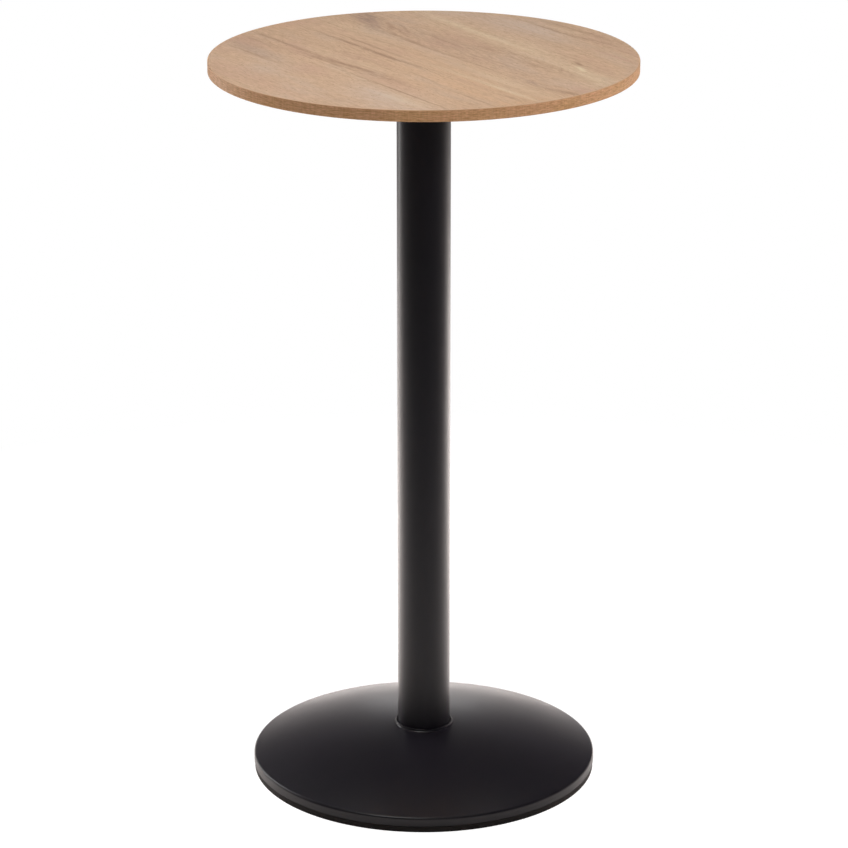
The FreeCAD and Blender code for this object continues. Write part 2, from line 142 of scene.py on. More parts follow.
# %% Finishes: materials whose nodes all come from one method
class Finish:
    """A node tree, of a new material unless another tree is given."""

    def __init__(self, name, tree=None):
        if tree is None:
            self.material = bpy.data.materials.new(name)
            self.material.use_nodes = True
            tree = self.material.node_tree
        self.tree = tree
        self.tree.nodes.clear()

    def add(self, kind, settings=None, inputs=None, output=0):
        """Adds a node: settings first, then the value or Wire of each input socket."""
        node = self.tree.nodes.new("ShaderNode" + kind)
        for name, value in (settings or {}).items():
            setattr(node, name, value)
        for name, value in (inputs or {}).items():
            shown = [socket for socket in node.inputs if socket.enabled]
            named = [socket for socket in shown if socket.name == name]
            socket = named[0] if named else shown[name]
            if isinstance(value, Wire):
                self.tree.links.new(value.socket, socket)
            else:
                socket.default_value = value
        shown = [socket for socket in node.outputs if socket.enabled]
        socket = shown[output] if isinstance(output, int) else node.outputs[output]
        return Wire(self, socket)

    def place(self):
        """The point on the surface, in the table's own metres."""
        return self.add("TexCoord", output="Object")

    def split(self, vector):
        first = self.add("SeparateXYZ", inputs={"Vector": vector})
        return [Wire(self, socket) for socket in first.socket.node.outputs]

    def join(self, x, y, z):
        return self.add("CombineXYZ", inputs={"X": x, "Y": y, "Z": z})

    def noise(self, vector, scale=1.0, detail=2.0, roughness=0.5):
        inputs = {"Vector": vector, "Scale": scale, "Detail": detail, "Roughness": roughness}
        return self.add("TexNoise", inputs=inputs)

    def chance(self, number):
        """A random value from 0 to 1 for each whole number."""
        return self.add("TexWhiteNoise", {"noise_dimensions": "1D"}, {"W": number})

    def blend(self, share, first, second):
        """The first colour where the share is 0, and the second where it is 1."""
        settings = {"data_type": "RGBA", "blend_type": "MIX", "clamp_factor": True}
        return self.add("Mix", settings, {"Factor": share, "A": first, "B": second})

    def spot(self, along, across, middle, reach, turn):
        """1 at the middle of a soft oval, falling away to either side within its reach."""
        inputs = {"Vector": self.join(along, across, 0.0), "Location": (*middle, 0.0),
                  "Rotation": (0.0, 0.0, math.radians(turn)), "Scale": (*reach, 1.0)}
        away = self.add("Mapping", {"vector_type": "TEXTURE"}, inputs)
        square = self.add("VectorMath", {"operation": "DOT_PRODUCT"}, {0: away, 1: away}, "Value")
        return square.fade()

    def bump(self, height, depth, strength):
        """A surface that rises by the depth, in metres, where the height goes from 0 to 1."""
        return self.add("Bump", inputs={"Strength": strength, "Distance": depth, "Height": height})

    def seen(self):
        """1 for rays from the camera, straight or through something clear, and 0 for the rest."""
        plain = self.add("LightPath", output="Is Camera Ray")
        clear = self.add("LightPath", output="Is Transmission Ray")
        return plain + clear

    def surface(self, **sockets):
        """A Principled shader on the output. Names are the sockets', with _ for a space."""
        inputs = {name.replace("_", " "): value for name, value in sockets.items()}
        shader = self.add("BsdfPrincipled", inputs=inputs)
        self.add_output("Material", shader)
        return self.material

    def add_output(self, kind, shader):
        node = self.tree.nodes.new("ShaderNodeOutput" + kind)
        self.tree.links.new(shader.socket, node.inputs["Surface"])


def srgb(red, green, blue):
    """A colour as a paint chart gives it, 0 to 255, in the light values that shaders use."""
    def light(level):
        share = level / 255
        return share / 12.92 if share <= 0.04045 else ((share + 0.055) / 1.055) ** 2.4
    return (light(red), light(green), light(blue), 1.0)


def millimetres(*values):
    """Lengths in millimetres, turned into metres."""
    scaled = [value / 1000 for value in values]
    return scaled if len(scaled) > 1 else scaled[0]


print("a mid grey of 128 is a light value of", round(srgb(128, 128, 128)[0], 3))

# %% [markdown]
# ## The oak face
#
# The top is chipboard under a printed oak laminate. Its print shows straight-grained staves that
# run askew across the disc, so the grain gets its own axes: along it, and across it. One noise
# texture could stand for the wood, but the eye would find no order in it. So the print has layers:
# fibres and clouds of colour first, then the listed marks, then pores.

# %% Axes along and across the grain
GRAIN_ANGLE = math.radians(-57.0)


def grain_axes(finish):
    x, y = finish.split(finish.place())[:2]
    along = x * math.cos(GRAIN_ANGLE) + y * math.sin(GRAIN_ANGLE)
    across = y * math.cos(GRAIN_ANGLE) - x * math.sin(GRAIN_ANGLE)
    return along, across


print("the grain lies", round(math.degrees(GRAIN_ANGLE)), "degrees from the x axis")

# %% Layers of noise, stretched along the grain
# A row is the noise's waves in a metre along the grain and across it, the slice of the noise that
# is used, its detail and its roughness.
OAK_SWAY = {
    "drift": (3.2, 9.0, 2.0, 2.0, 0.5),
    "wave": (14.0, 30.0, 8.0, 2.0, 0.5),
}
OAK_GRAIN = {
    "streak": (4.0, 60.0, 3.0, 3.0, 0.6),
    "fibre": (52.0, 230.0, 6.0, 3.0, 0.7),
    "hair": (60.0, 900.0, 9.0, 2.0, 0.6),
    "pore": (105.0, 430.0, 12.0, 2.0, 0.7),
}
OAK_CLOUDS = {
    "cloud": (6.0, 17.0, 15.0, 3.0, 0.5),
    "hue": (7.0, 20.0, 18.0, 2.0, 0.5),
}


def layers(finish, table, along, across):
    """One noise for each row of a table."""
    made = {}
    for name, (long, wide, part, detail, roughness) in table.items():
        point = finish.join(along * long, across * wide, part)
        made[name] = finish.noise(point, detail=detail, roughness=roughness)
    return made


def swing(middle, made, weights):
    """A value that each layer pushes up and down from the middle by its weight."""
    total = middle
    for name, weight in weights.items():
        total = (made[name] - 0.5) * weight + total
    return total


for name, (long, wide, *_) in (OAK_GRAIN | OAK_CLOUDS).items():
    print(name, "waves are", round(1000 / long), "mm long and", round(1000 / wide, 1), "mm wide")

# %% Marks: soft streaks and clouds, listed where the print has its strongest ones
# Each is its middle along and across the grain, its length and half its width in millimetres,
# the degrees it is turned from the grain, and its strength.
MARKS = {
    "vein": [
        (-190, -114, 230, 4.5, 0, 0.80),
        (-55, -123, 150, 4.0, 1, 0.60),
        (-25, -112, 140, 4.0, 7, 0.64),
        (70, -109, 130, 6.0, 0, 0.36),
        (150, -134, 300, 1.6, 0, 0.52),
        (-120, -37, 170, 3.6, 0, 0.80),
        (-30, -39, 90, 3.6, 2, 0.80),
        (-95, -21, 140, 2.6, -1, 0.64),
        (40, -37, 60, 5.5, -2, 0.44),
        (-110, 42, 130, 3.6, -4, 0.60),
        (60, 38, 280, 2.2, 0, 0.36),
        (-180, 62, 60, 4.0, -25, 0.44),
        (-150, 60, 110, 3.0, -14, 0.40),
        (-160, 74, 100, 3.0, -18, 0.36),
        (-60, 80, 110, 2.6, -3, 0.44),
        (5, 106, 60, 7.0, 0, 0.48),
        (105, 103, 110, 5.0, -1, 0.36),
        (80, 118, 260, 9.0, -1, 0.32),
        (235, -74, 120, 2.6, 0, 0.44),
        (262, -29, 80, 3.0, 0, 0.40),
        (100, -64, 120, 2.6, -5, 0.32),
        (270, 47, 60, 5.0, 14, 0.80),
        (95, 170, 90, 2.0, 0, 0.32),
        (151, 157, 36, 4.0, -18, 0.64),
        (-50, 249, 120, 3.4, 0, 0.52),
        (40, 258, 110, 3.4, 8, 0.44),
        (-20, 276, 160, 5.0, 3, 0.40),
        (-165, -187, 130, 4.0, 1, 0.48),
        (-210, -140, 110, 5.0, -2, 0.44),
        (-130, 5, 230, 3.0, 0, 0.22),
        (135, -225, 90, 5.0, 2, 0.28),
    ],
    "smoke": [
        (-262, 72, 70, 20.0, -16, 0.65),
        (-215, 52, 90, 13.0, -18, 0.49),
        (202, 42, 66, 7.0, 0, 0.52),
        (-170, -172, 150, 14.0, -4, 0.36),
        (-120, 76, 260, 26.0, 0, 0.23),
        (60, 74, 280, 30.0, 0, 0.20),
    ],
    "pale": [
        (-60, -97, 200, 10.0, 4, 0.16),
        (225, -11, 180, 5.0, 1, 0.47),
        (90, -13, 150, 6.0, 1, 0.20),
        (180, 18, 260, 12.0, 0, 0.20),
        (-200, 16, 170, 14.0, 0, 0.11),
        (20, -138, 240, 3.5, 0, 0.16),
        (-90, 151, 260, 9.0, 0, 0.28),
        (-10, 140, 480, 22.0, 0, 0.17),
        (225, 122, 170, 20.0, -4, 0.28),
        (30, 172, 110, 26.0, 0, 0.15),
        (172, 145, 34, 4.0, -18, 0.80),
        (-35, 262, 90, 3.4, 7, 0.28),
        (190, -152, 80, 14.0, 0, 0.23),
        (-130, 75, 60, 10.0, -10, 0.11),
    ],
    "cool": [
        (165, -168, 150, 34.0, 0, 0.38),
        (-95, 218, 210, 34.0, 4, 0.33),
        (-62, -214, 80, 34.0, 0, 0.23),
        (-170, -180, 170, 18.0, 0, 0.17),
        (-225, 190, 100, 26.0, 20, 0.20),
    ],
    "pink": [
        (-235, -158, 130, 24.0, 0, 0.39),
        (-35, -160, 60, 22.0, 0, 0.24),
        (-150, -112, 110, 16.0, -20, 0.24),
        (-50, 60, 70, 20.0, 0, 0.24),
        (-30, 108, 100, 14.0, 0, 0.18),
        (-40, -262, 300, 26.0, 0, 0.21),
        (105, -118, 140, 14.0, 0, 0.24),
        (150, 226, 120, 3.5, 0, 0.48),
        (150, 254, 100, 3.5, 0, 0.48),
        (-282, -40, 40, 40.0, 0, 0.27),
        (285, 75, 60, 14.0, 0, 0.36),
    ],
    "warm": [
        (190, -45, 320, 62.0, 0, 0.21),
        (10, 8, 190, 16.0, 0, 0.13),
        (230, 215, 160, 50.0, 0, 0.13),
        (-278, -66, 40, 16.0, 0, 0.21),
        (290, -20, 40, 60.0, 0, 0.21),
    ],
}


def marks(finish, kind, along, across):
    """How strongly the marks of one kind show at each point."""
    total = 0.0
    for *shape, turn, strength in MARKS[kind]:
        middle, level, length, half_width = millimetres(*shape)
        near = finish.spot(along, across, (middle, level), (length / 2, half_width), turn)
        total = near * strength + total
    return total


print("marks:", ", ".join(f"{len(rows)} {kind}" for kind, rows in MARKS.items()))

# %% Stave edges: where two strips of the print meet
STAVE_EDGES = (-133, 36, 205)
STAVE_EDGE = millimetres(0.8)
STAVE_END = millimetres(167)
STAVE_END_LEVEL = millimetres(68)
STAVE_END_HALF = millimetres(30)


def stave_lines(along, across):
    """A thin line at each stave's edge, and one at the end of a stave."""
    lines = (across - millimetres(STAVE_EDGES[0])).bell(STAVE_EDGE)
    for edge in STAVE_EDGES[1:]:
        lines = lines + (across - millimetres(edge)).bell(STAVE_EDGE)
    stave = (across - STAVE_END_LEVEL) / STAVE_END_HALF
    end = (along - STAVE_END).bell(STAVE_EDGE * 1.5) * (stave ** 4).fade()
    return lines, end


print("stave edges:", STAVE_EDGES, "mm across the grain from the middle")

# %% The print's colours
OAK_LIGHT = srgb(220, 188, 158)
OAK_DARK = srgb(174, 139, 110)
OAK_PORE = srgb(146, 114, 88)
TINTS = {
    "pale": srgb(221, 202, 169),
    "cool": srgb(198, 181, 169),
    "pink": srgb(186, 143, 126),
    "warm": srgb(208, 163, 121),
    "smoke": srgb(159, 132, 115),
    "vein": srgb(160, 126, 100),
}
print("tints of the print:", ", ".join(TINTS))

# %% How strongly each layer shows
SWAY_REACH = {"drift": millimetres(22), "wave": millimetres(5)}
MARK_SWAY = 0.35
OAK_FIGURE = {"streak": 0.45, "fibre": 1.5, "hair": 0.5, "cloud": 0.35}
LIGHT_SIDE = {"streak": 3.0, "fibre": 1.5}
DARK_SIDE = {"streak": -2.0, "fibre": -2.5}
DARK_MARKS = ("smoke", "vein")
# Each hue is where it starts in the noise, where it is full, and its share there.
OAK_HUES = {"pink": (0.52, 0.72, 0.22), "cool": (0.52, 0.30, 0.20)}
PORE_DARK = (0.58, 0.74)
PORE_LIGHT = (0.42, 0.26)
PRINT_RELIEF = millimetres(0.05)
PRINT_BUMP = 0.6
print("the grain sways over", round(sum(SWAY_REACH.values()) * 1000), "mm")


# %% The oak finish
def oak_colour(finish, wood, along, across, placed, pores):
    """The print's colour: fibres, clouds of hue, the marks, the pores and the staves' edges."""
    figure = swing(0.5, wood, OAK_FIGURE).most(0.0).least(1.0)
    colour = finish.blend(figure, OAK_DARK, OAK_LIGHT)
    for kind, (none, full, share) in OAK_HUES.items():
        colour = finish.blend(wood["hue"].step(none, full) * share, colour, TINTS[kind])
    light_side = swing(1.0, wood, LIGHT_SIDE).most(0.0)
    dark_side = swing(1.0, wood, DARK_SIDE).most(0.0)
    for kind in ("warm", "pink", "cool", "pale", "smoke", "vein"):
        side = dark_side if kind in DARK_MARKS else light_side
        share = marks(finish, kind, along, placed) * side
        colour = finish.blend(share, colour, TINTS[kind])
    colour = finish.blend(pores * 0.8, colour, OAK_PORE)
    colour = finish.blend(wood["pore"].step(*PORE_LIGHT) * 0.45, colour, OAK_LIGHT)
    sides, end = stave_lines(along, across)
    colour = finish.blend(sides * 0.25, colour, OAK_PORE)
    return finish.blend(end * 0.30, colour, OAK_LIGHT)


def oak(name):
    finish = Finish(name)
    along, across = grain_axes(finish)
    sway = swing(0.0, layers(finish, OAK_SWAY, along, across), SWAY_REACH)
    wood = layers(finish, OAK_GRAIN, along, across + sway)
    wood.update(layers(finish, OAK_CLOUDS, along, across))
    pores = wood["pore"].step(*PORE_DARK) * (0.6 + wood["streak"] * 0.5)
    colour = oak_colour(finish, wood, along, across, across + sway * MARK_SWAY, pores)
    relief = wood["fibre"] * 0.5 + wood["hair"] * 0.3 - pores * 0.6
    normal = finish.bump(relief, PRINT_RELIEF, PRINT_BUMP)
    rough = swing(0.56, wood, {"fibre": 0.18}) + pores * 0.12
    return finish.surface(
        Base_Color=colour, Roughness=rough, Normal=normal, Specular_IOR_Level=0.25)


print("layers of the oak print:", ", ".join([*OAK_SWAY, *OAK_GRAIN, *OAK_CLOUDS]))

# %% [markdown]
# ## The edge band
#
# A thin strip is glued round the board's edge. Its print is warmer than the face's and runs round
# the rim. The face's grain axes would smear there, so the band uses the distance round the rim and
# the height instead. The seam, where the strip's two ends meet, is at the back.

# %% The edge band's finish
BAND_LIGHT = srgb(232, 183, 135)
BAND_DARK = srgb(189, 140, 92)
BAND_PINK = srgb(230, 177, 139)
BAND_CROWNED = srgb(202, 163, 130)
BAND_SWAY = {"sway": (5.0, 20.0, 2.0, 2.0, 0.5)}
BAND_GRAIN = {
    "streak": (16.0, 520.0, 1.0, 3.0, 0.6),
    "fibre": (100.0, 640.0, 4.0, 2.0, 0.7),
    "pore": (150.0, 2400.0, 11.0, 1.0, 0.5),
}
BAND_CLOUDS = {
    "patch": (11.0, 14.0, 7.0, 3.0, 0.6),
    "rays": (420.0, 26.0, 9.0, 2.0, 0.7),
}
BAND_SWAY_REACH = {"sway": millimetres(3)}
BAND_FIGURE = {"streak": 1.0, "fibre": 2.6, "patch": 0.35, "rays": -0.9}
BAND_PORE = (0.62, 0.75)
BAND_SLAT = millimetres(46)
BAND_JOINT = millimetres(0.7)
BAND_SEAM = millimetres(0.4)
BAND_CROWN = (millimetres(0.3), millimetres(1.1))
top_low, top_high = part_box("edge_band")
top_radius = top_high.x


def band_joints(finish, along, patch):
    """Faint pale lines across the band, where some of its printed slats meet."""
    slat = along / BAND_SLAT + (patch - 0.5) * 0.8
    away = (0.5 - abs(slat.fraction() - 0.5)) * BAND_SLAT
    return away.bell(BAND_JOINT) * finish.chance(slat.floor() + 0.5).step(0.35, 0.55)


def oak_edge():
    finish = Finish("oak_edge")
    x, y, z = finish.split(finish.place())
    turn = x.angle_to(-y)
    along = turn * top_radius
    level = z - top_low.z
    sway = swing(0.0, layers(finish, BAND_SWAY, along, level), BAND_SWAY_REACH)
    wood = layers(finish, BAND_GRAIN, along, level + sway)
    wood.update(layers(finish, BAND_CLOUDS, along, level))
    pores = wood["pore"].step(*BAND_PORE)
    seam = (abs(turn) - math.pi) * top_radius
    crown = 1.0 - (top_high.z - z).step(*BAND_CROWN)

    darkness = swing(0.5, wood, BAND_FIGURE).most(0.0).least(1.0)
    tint = finish.blend(wood["patch"].step(0.35, 0.7), BAND_PINK, BAND_LIGHT)
    colour = finish.blend(darkness, tint, BAND_DARK)
    colour = finish.blend(band_joints(finish, along, wood["patch"]) * 0.14, colour, OAK_LIGHT)
    colour = finish.blend(pores * 0.35, colour, OAK_PORE)
    colour = finish.blend(seam.bell(BAND_SEAM) * 0.7, colour, BAND_DARK)
    colour = finish.blend(crown, colour, BAND_CROWNED)
    relief = wood["streak"] * 0.4 + wood["fibre"] * 0.4 - pores * 0.5
    normal = finish.bump(relief, PRINT_RELIEF, PRINT_BUMP)
    rough = swing(0.48, wood, {"fibre": 0.15})
    return finish.surface(
        Base_Color=colour, Roughness=rough, Normal=normal, Specular_IOR_Level=0.35)


print("the band is", round(math.tau * top_radius * 1000), "mm long and",
      round((top_high.z - top_low.z) * 1000, 1), "mm high")

# %% [markdown]
# ## Powder coat
#
# The steel is sprayed with black powder and baked. That leaves a satin film with a fine
# orange-peel skin: shallow dimples a millimetre or two across, and a grain of finer specks.
# Dimples in the mesh would need millions of faces, so a Bump node tilts the light instead. A
# second, smoother sheen lies over the film, so the shader's thin coat is used beside its own gloss.

# %% Powder coat
POWDER_BLACK = srgb(19, 17, 23)
POWDER_SPECK = srgb(28, 26, 32)
POWDER_RELIEF = millimetres(0.03)
POWDER_BUMP = 0.5
POWDER_ROUGH = {"cloud": 0.06, "speck": 0.08}


def powder_coat(name, roughness):
    finish = Finish(name)
    place = finish.place()
    peel = finish.noise(place, scale=520.0, detail=2.0)
    speck = finish.noise(place, scale=2100.0, detail=1.0)
    cloud = finish.noise(place, scale=14.0, detail=3.0)
    colour = finish.blend(speck.step(0.5, 0.75), POWDER_BLACK, POWDER_SPECK)
    normal = finish.bump(peel * 0.75 + speck * 0.25, POWDER_RELIEF, POWDER_BUMP)
    rough = swing(roughness, {"cloud": cloud, "speck": speck}, POWDER_ROUGH)
    return finish.surface(
        Base_Color=colour, Roughness=rough, Normal=normal, Specular_IOR_Level=0.42,
        Coat_Weight=0.10, Coat_Roughness=0.18)


print("the powder's black is a light value of", round(POWDER_BLACK[0], 4))

# %% [markdown]
# ## Rubber and plastic
#
# The floor ring, the gasket and the pads are moulded. Rubber is dull with a faint bloom, and
# plastic is a little smoother with fine moulding texture. They could be three finishes written out
# one by one. They differ only in colour and gloss, so one function makes all three.

# %% Moulded pieces
MOULD_RELIEF = millimetres(0.03)
MOULD_BUMP = 0.5


def moulded(name, colour, dusty, roughness, specular):
    finish = Finish(name)
    place = finish.place()
    bloom = finish.noise(place, scale=30.0, detail=4.0, roughness=0.6)
    grain = finish.noise(place, scale=1500.0, detail=2.0)
    shade = finish.blend(bloom.step(0.4, 0.75) * 0.6, colour, dusty)
    normal = finish.bump(grain, MOULD_RELIEF, MOULD_BUMP)
    rough = roughness + (bloom - 0.5) * 0.12
    return finish.surface(
        Base_Color=shade, Roughness=rough, Normal=normal, Specular_IOR_Level=specular)


print("moulding marks rise", round(MOULD_RELIEF * 1000, 2), "mm")

# %% [markdown]
# ## Bare metals and chipboard
#
# Under the base and inside the column the metal isn't painted. Drawn steel shows fine lines
# along its length, zinc plating shows a faint yellow cloud, and cast iron is dark and sandy. The
# shader's own Anisotropic stretches a highlight but draws no lines, so noise that is stretched
# upright draws them. The board's core is pressed wood chips, so cells of random tone stand for
# the chips.

# %% Metals and the core
STEEL_RELIEF = millimetres(0.02)
STEEL_LINES = (900.0, 900.0, 30.0)
IRON_RELIEF = millimetres(0.25)
IRON_DARK = srgb(46, 45, 46)
IRON_LIGHT = srgb(66, 64, 63)
IRON_RUST = srgb(88, 66, 50)
CHIP_RELIEF = millimetres(0.2)
CHIP_DARK = srgb(150, 118, 84)
CHIP_LIGHT = srgb(204, 176, 138)


def steel(name, colour, stain, roughness):
    finish = Finish(name)
    place = finish.place()
    stretched = [part * scale for part, scale in zip(finish.split(place), STEEL_LINES)]
    lines = finish.noise(finish.join(*stretched), detail=2.0)
    cloud = finish.noise(place, scale=60.0, detail=4.0, roughness=0.6)
    shade = finish.blend(cloud.step(0.35, 0.75) * 0.7, colour, stain)
    normal = finish.bump(lines, STEEL_RELIEF, 0.4)
    rough = roughness + (cloud - 0.5) * 0.2
    return finish.surface(Base_Color=shade, Metallic=0.9, Roughness=rough, Normal=normal)


def cast_iron():
    finish = Finish("cast_iron")
    place = finish.place()
    sand = finish.noise(place, scale=700.0, detail=3.0, roughness=0.6)
    lumps = finish.noise(place, scale=90.0, detail=4.0, roughness=0.6)
    rust = finish.noise(place, scale=22.0, detail=5.0, roughness=0.65)
    shade = finish.blend(lumps.step(0.3, 0.7), IRON_DARK, IRON_LIGHT)
    shade = finish.blend(rust.step(0.58, 0.80) * 0.5, shade, IRON_RUST)
    normal = finish.bump(sand * 0.5 + lumps * 0.5, IRON_RELIEF, 0.6)
    rough = 0.62 + (sand - 0.5) * 0.2
    return finish.surface(Base_Color=shade, Metallic=0.35, Roughness=rough, Normal=normal)


def chipboard():
    finish = Finish("chipboard")
    place = finish.place()
    chips = finish.add("TexVoronoi", inputs={"Vector": place, "Scale": 420.0}, output="Color")
    dust = finish.noise(place, scale=900.0, detail=3.0)
    tone = finish.split(chips)[0] * 0.6 + dust * 0.4
    shade = finish.blend(tone, CHIP_DARK, CHIP_LIGHT)
    normal = finish.bump(tone, CHIP_RELIEF, 0.6)
    rough = 0.8 + (dust - 0.5) * 0.1
    return finish.surface(Base_Color=shade, Roughness=rough, Normal=normal)


print("cast iron's sand rises", round(IRON_RELIEF * 1000, 2), "mm")

# %% [markdown]
# ## Dressing the frame
#
# The shapes from the frame are right, apart from the fasteners, which come next. A finish could be
# picked for each node by hand. The frame already gives every node a named material slot, so the
# finishes bear the slots' names and one loop puts them in place.

# %% Give each piece its finish
finishes = {
    "oak_face": oak("oak_face"),
    "oak_underside": oak("oak_underside"),
    "oak_edge": oak_edge(),
    "chipboard": chipboard(),
    "black_powder": powder_coat("black_powder", 0.36),
    "black_plate": powder_coat("black_plate", 0.48),
    "ring_rubber": moulded("ring_rubber", srgb(28, 24, 22), srgb(40, 35, 32), 0.62, 0.25),
    "black_rubber": moulded("black_rubber", srgb(22, 22, 22), srgb(34, 33, 32), 0.7, 0.3),
    "pad_plastic": moulded("pad_plastic", srgb(30, 30, 31), srgb(44, 43, 42), 0.42, 0.45),
    "bare_steel": steel("bare_steel", srgb(150, 150, 152), srgb(112, 108, 102), 0.38),
    "zinc_steel": steel("zinc_steel", srgb(196, 198, 200), srgb(176, 172, 158), 0.30),
    "cast_iron": cast_iron(),
}

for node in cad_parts.values():
    for slot in node.material_slots:
        slot.material = finishes[slot.material.name.split(".")[0]]
print("finishes:", ", ".join(finishes))

# %% [markdown]
# ## Nuts, screws and threads
#
# Seen from below, the table shows its fasteners. The frame has them as plain prisms, so each one is
# made again with what a real one has: nuts with chamfered corners, threads that climb, and screw
# heads with a domed face and a cross recess. A boolean cut or a screw modifier could do parts of
# this. Here every fastener is one stack of rings of points instead, because a ring's radius can
# follow a circle, a hexagon or a thread, and a single helper then skins them all.

# %% Rings of points, and a skin over a stack of them
AROUND = 48
TURNS = [i / AROUND for i in range(AROUND)]
SHARP_ANGLE = math.radians(32)


def ring(z, radius):
    """Points round the axis. The radius is a number, or a function of the share of a turn."""
    reach = radius if callable(radius) else lambda turn: radius
    points = []
    for t in TURNS:
        points.append((reach(t) * math.cos(math.tau * t), reach(t) * math.sin(math.tau * t), z))
    return points


def skin(mesh, rings, x, y, closed=False):
    """Faces between each ring and the next. A closed stack returns to its first ring, and an
    open one gets a flat end at its top and its bottom."""
    rows = [[mesh.verts.new((x + a, y + b, c)) for a, b, c in points] for points in rings]
    for low, high in zip(rows, rows[1:] + rows[:1] if closed else rows[1:]):
        for i in range(AROUND):
            mesh.faces.new((low[i - 1], low[i], high[i], high[i - 1]))
    if not closed:
        mesh.faces.new(rows[0])
        mesh.faces.new(rows[-1])


def fastener(name, mesh, body, node, slot):
    """Turns a bmesh into a piece that rides on a body and stands for a node of the frame."""
    bmesh.ops.recalc_face_normals(mesh, faces=mesh.faces)
    data = bpy.data.meshes.new(name)
    mesh.to_mesh(data)
    mesh.free()
    data.shade_smooth()
    data.set_sharp_from_angle(angle=SHARP_ANGLE)
    data.materials.append(finishes[slot])
    piece = bpy.data.objects.new(name, data)
    scene.collection.objects.link(piece)
    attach(piece, body)
    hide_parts(node)
    return piece


def sizes(node):
    """A node's middle in x and y, its reach along x, and its lowest and highest z."""
    low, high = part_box(node)
    return (low.x + high.x) / 2, (low.y + high.y) / 2, (high.x - low.x) / 2, low.z, high.z


print("points in a ring:", AROUND)

# %% Hexagons and threads
THREAD_DEPTH = 0.61
STEPS_A_TURN = 6
CHAMFER_FACE = 0.475
CHAMFER_ANGLE = math.radians(30)


def hexagon(flats):
    """The reach of a hexagon at each share of a turn, sized across its flats."""
    return lambda turn: flats / 2 / math.cos((turn * math.tau) % (math.pi / 3) - math.pi / 6)


def chamfered(low, high, flats):
    """The rings of a hexagon from low to high, with its corners cut back at both ends."""
    reach = hexagon(flats)
    face = flats * CHAMFER_FACE
    lower, upper = ring(low, reach), ring(high, reach)
    for i, t in enumerate(TURNS):
        fall = (reach(t) - face) * math.tan(CHAMFER_ANGLE)
        lower[i] = (*lower[i][:2], low + fall)
        upper[i] = (*upper[i][:2], high - fall)
    return [ring(low, face), lower, upper, ring(high, face)]


def thread(low, high, radius, pitch):
    """Rings up a thread. Its ridge climbs by the pitch in each turn, and both ends taper."""
    count = max(2, round((high - low) / pitch * STEPS_A_TURN))
    depth = THREAD_DEPTH * pitch
    rings = []
    for step in range(count + 1):
        z = low + (high - low) * step / count
        from_end = min(z - low, high - z)

        def reach(turn):
            groove = abs((z / pitch - turn) % 1.0 * 2 - 1)
            return min(radius - depth * groove, radius - depth + from_end)
        rings.append(ring(z, reach))
    return rings


print("a thread is", THREAD_DEPTH, "of its pitch deep, in", STEPS_A_TURN, "rings a turn")

# %% The nuts
REACH_TO_FLATS = math.sqrt(3)
COVER_NUT_DISTANCE = millimetres(150)
COVER_NUT_FLATS = millimetres(8)
COVER_STUD_RADIUS = millimetres(2.5)
COVER_NUT_TURNS = [math.radians(90 + 120 * i) for i in range(3)]
BORE_SINK = 0.08


def nuts(node, slot, places, flats, bore):
    """Chamfered nuts whose bores open with a small countersink at both ends."""
    mesh = bmesh.new()
    low, high = sizes(node)[3:]
    sink = bore * BORE_SINK
    for x, y in places:
        rings = chamfered(low, high, flats) + [ring(high, bore + sink), ring(high - sink, bore)]
        rings += [ring(low + sink, bore), ring(low, bore + sink)]
        skin(mesh, rings, x, y, closed=True)
    fastener(node + "_turned", mesh, "table", node, slot)


rod_radius = sizes("tie_rod")[2]
for node, slot in (("rod_nut", "zinc_steel"), ("rod_weld_nut", "bare_steel")):
    nuts(node, slot, [(0.0, 0.0)], sizes(node)[2] * REACH_TO_FLATS, rod_radius)
places = [(COVER_NUT_DISTANCE * math.cos(turn), COVER_NUT_DISTANCE * math.sin(turn))
          for turn in COVER_NUT_TURNS]
nuts("cover_nuts", "zinc_steel", places, COVER_NUT_FLATS, COVER_STUD_RADIUS)
print("rod nut across its flats:", round(sizes("rod_nut")[2] * REACH_TO_FLATS * 1000, 1), "mm")

# %% [markdown]
# ## The tie rod and the feet
#
# The rod pulls the plate, the column and the ballast together. It is threaded at both ends and
# plain between. Each foot is a stud with a round head that snaps into its pad, a neck, a hexagon
# for the spanner and a threaded shank. Level grooves would pass for a thread while nothing moves,
# but a foot turns with its own body, so its thread has to climb as the real one does.

# %% The tie rod
ROD_PITCH = millimetres(1.75)
ROD_LOW_THREAD = millimetres(48)
ROD_HIGH_THREAD = millimetres(34)

x, y, reach, low, high = sizes("tie_rod")
shank = reach - THREAD_DEPTH * ROD_PITCH / 2
rings = thread(low, low + ROD_LOW_THREAD, reach, ROD_PITCH)
rings += [ring(low + ROD_LOW_THREAD, shank), ring(high - ROD_HIGH_THREAD, shank)]
rings += thread(high - ROD_HIGH_THREAD, high, reach, ROD_PITCH)
mesh = bmesh.new()
skin(mesh, rings, x, y)
fastener("tie_rod_threaded", mesh, "table", "tie_rod", "zinc_steel")
print("tie rod:", len(rings), "rings")

# %% The studs of the feet
FOOT_PITCH = millimetres(1.25)
FOOT_HEAD_RADIUS = millimetres(6.0)
FOOT_HEAD_HEIGHT = millimetres(1.5)
FOOT_NECK_RADIUS = millimetres(4.5)
FOOT_HEX_RISE = millimetres(3.3)
FOOT_HEX_HEIGHT = millimetres(5.0)
FOOT_HEX_FLATS = millimetres(13.0)
FOOT_SHANK_RADIUS = millimetres(4.0)
FOOT_BEVEL = millimetres(0.3)


